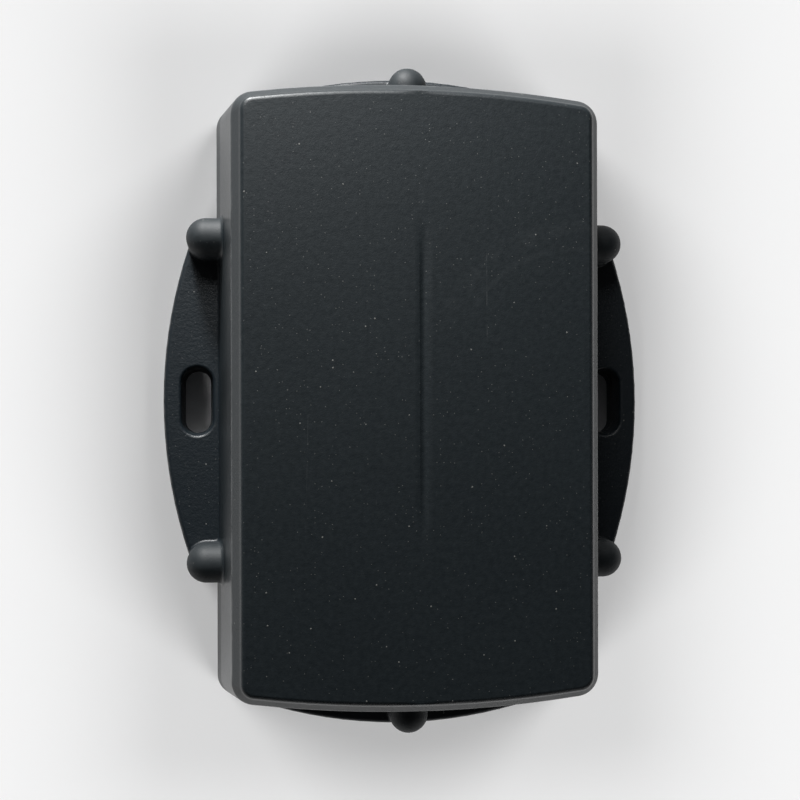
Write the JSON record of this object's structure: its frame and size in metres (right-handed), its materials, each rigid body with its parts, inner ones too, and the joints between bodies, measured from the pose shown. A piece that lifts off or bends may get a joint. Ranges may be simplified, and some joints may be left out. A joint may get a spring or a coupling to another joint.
{
  "type": "wireless asset tracker",
  "caption": "Sealed battery-powered wireless tracker: drafted box with a blank domed-ended face, slotted side flanges and closed screw bosses.",
  "frame": {"origin": "centre of the flat back, on the surface it is mounted to", "axes": "+X across the flanges, +Y along the case, +Z out of the blank face"},
  "size_m": [0.0628, 0.0864, 0.024],
  "materials": {
    "case_plastic": "fine spark-eroded texture, charcoal",
    "seal_silicone": "smooth silicone",
    "screw_steel": "blackened",
    "board_laminate": "solder mask over glass laminate",
    "holder_plastic": "fine matt",
    "cell_sleeve": "printed film sleeve, left blank",
    "contact_metal": "nickel plated",
    "foam": "closed-cell foam",
    "module_laminate": "blue solder mask",
    "can_metal": "tinned",
    "antenna_ceramic": "fired ceramic",
    "electrode_silver": "fired silver",
    "carrier_plastic": "natural moulding",
    "foil_copper": "gold plated",
    "chip_package": "moulded epoxy",
    "chip_ceramic": "glazed ceramic",
    "crystal_metal": "matt nickel",
    "tantalum_resin": "moulded resin",
    "led_resin": "clear resin",
    "pin_gold": "gold plated",
    "socket_plastic": "black moulding",
    "card_plastic": "blank card",
    "button_plastic": "moulded"
  },
  "bodies": {
    "tracker": {"cover": "case_plastic", "base_plate": "case_plastic", "gasket": "seal_silicone", "case_screws": "screw_steel", "main_board": "board_laminate", "board_screws": "screw_steel", "battery_holder": "holder_plastic", "cell_1": "cell_sleeve", "cell_2": "cell_sleeve", "cell_3": "cell_sleeve", "contact_plates": "contact_metal", "contact_springs": "contact_metal", "foam_pad": "foam", "modem_module": "module_laminate", "modem_shield": "can_metal", "gnss_module": "module_laminate", "gnss_shield": "can_metal", "patch_ceramic": "antenna_ceramic", "patch_electrode": "electrode_silver", "patch_pin": "electrode_silver", "antenna_carrier": "carrier_plastic", "antenna_foil": "foil_copper", "chip_antenna": "chip_ceramic", "microcontroller": "chip_package", "flash_memory": "chip_package", "accelerometer": "chip_package", "power_chips": "chip_package", "crystals": "crystal_metal", "inductors": "chip_package", "tank_capacitors": "tantalum_resin", "passives": "chip_ceramic", "status_led": "led_resin", "debug_base": "socket_plastic", "debug_pins": "pin_gold", "sim_tray": "socket_plastic", "sim_shell": "can_metal", "sim_contacts": "pin_gold", "switch_body": "socket_plastic", "switch_frame": "can_metal"},
    "sim_card": {"sim_card": "card_plastic"},
    "reset_button": {"reset_button": "button_plastic"}
  },
  "joints": [
    {"name": "sim_card_slide", "type": "slide", "parent": "tracker", "child": "sim_card", "axis": [0, 1, 0], "range_m": [-0.0004, 0.0032]},
    {"name": "reset_button_press", "type": "slide", "parent": "tracker", "child": "reset_button", "axis": [0, 0, 1], "range_m": [0, 0.00025], "stiffness_N_per_m": 6400}
  ]
}
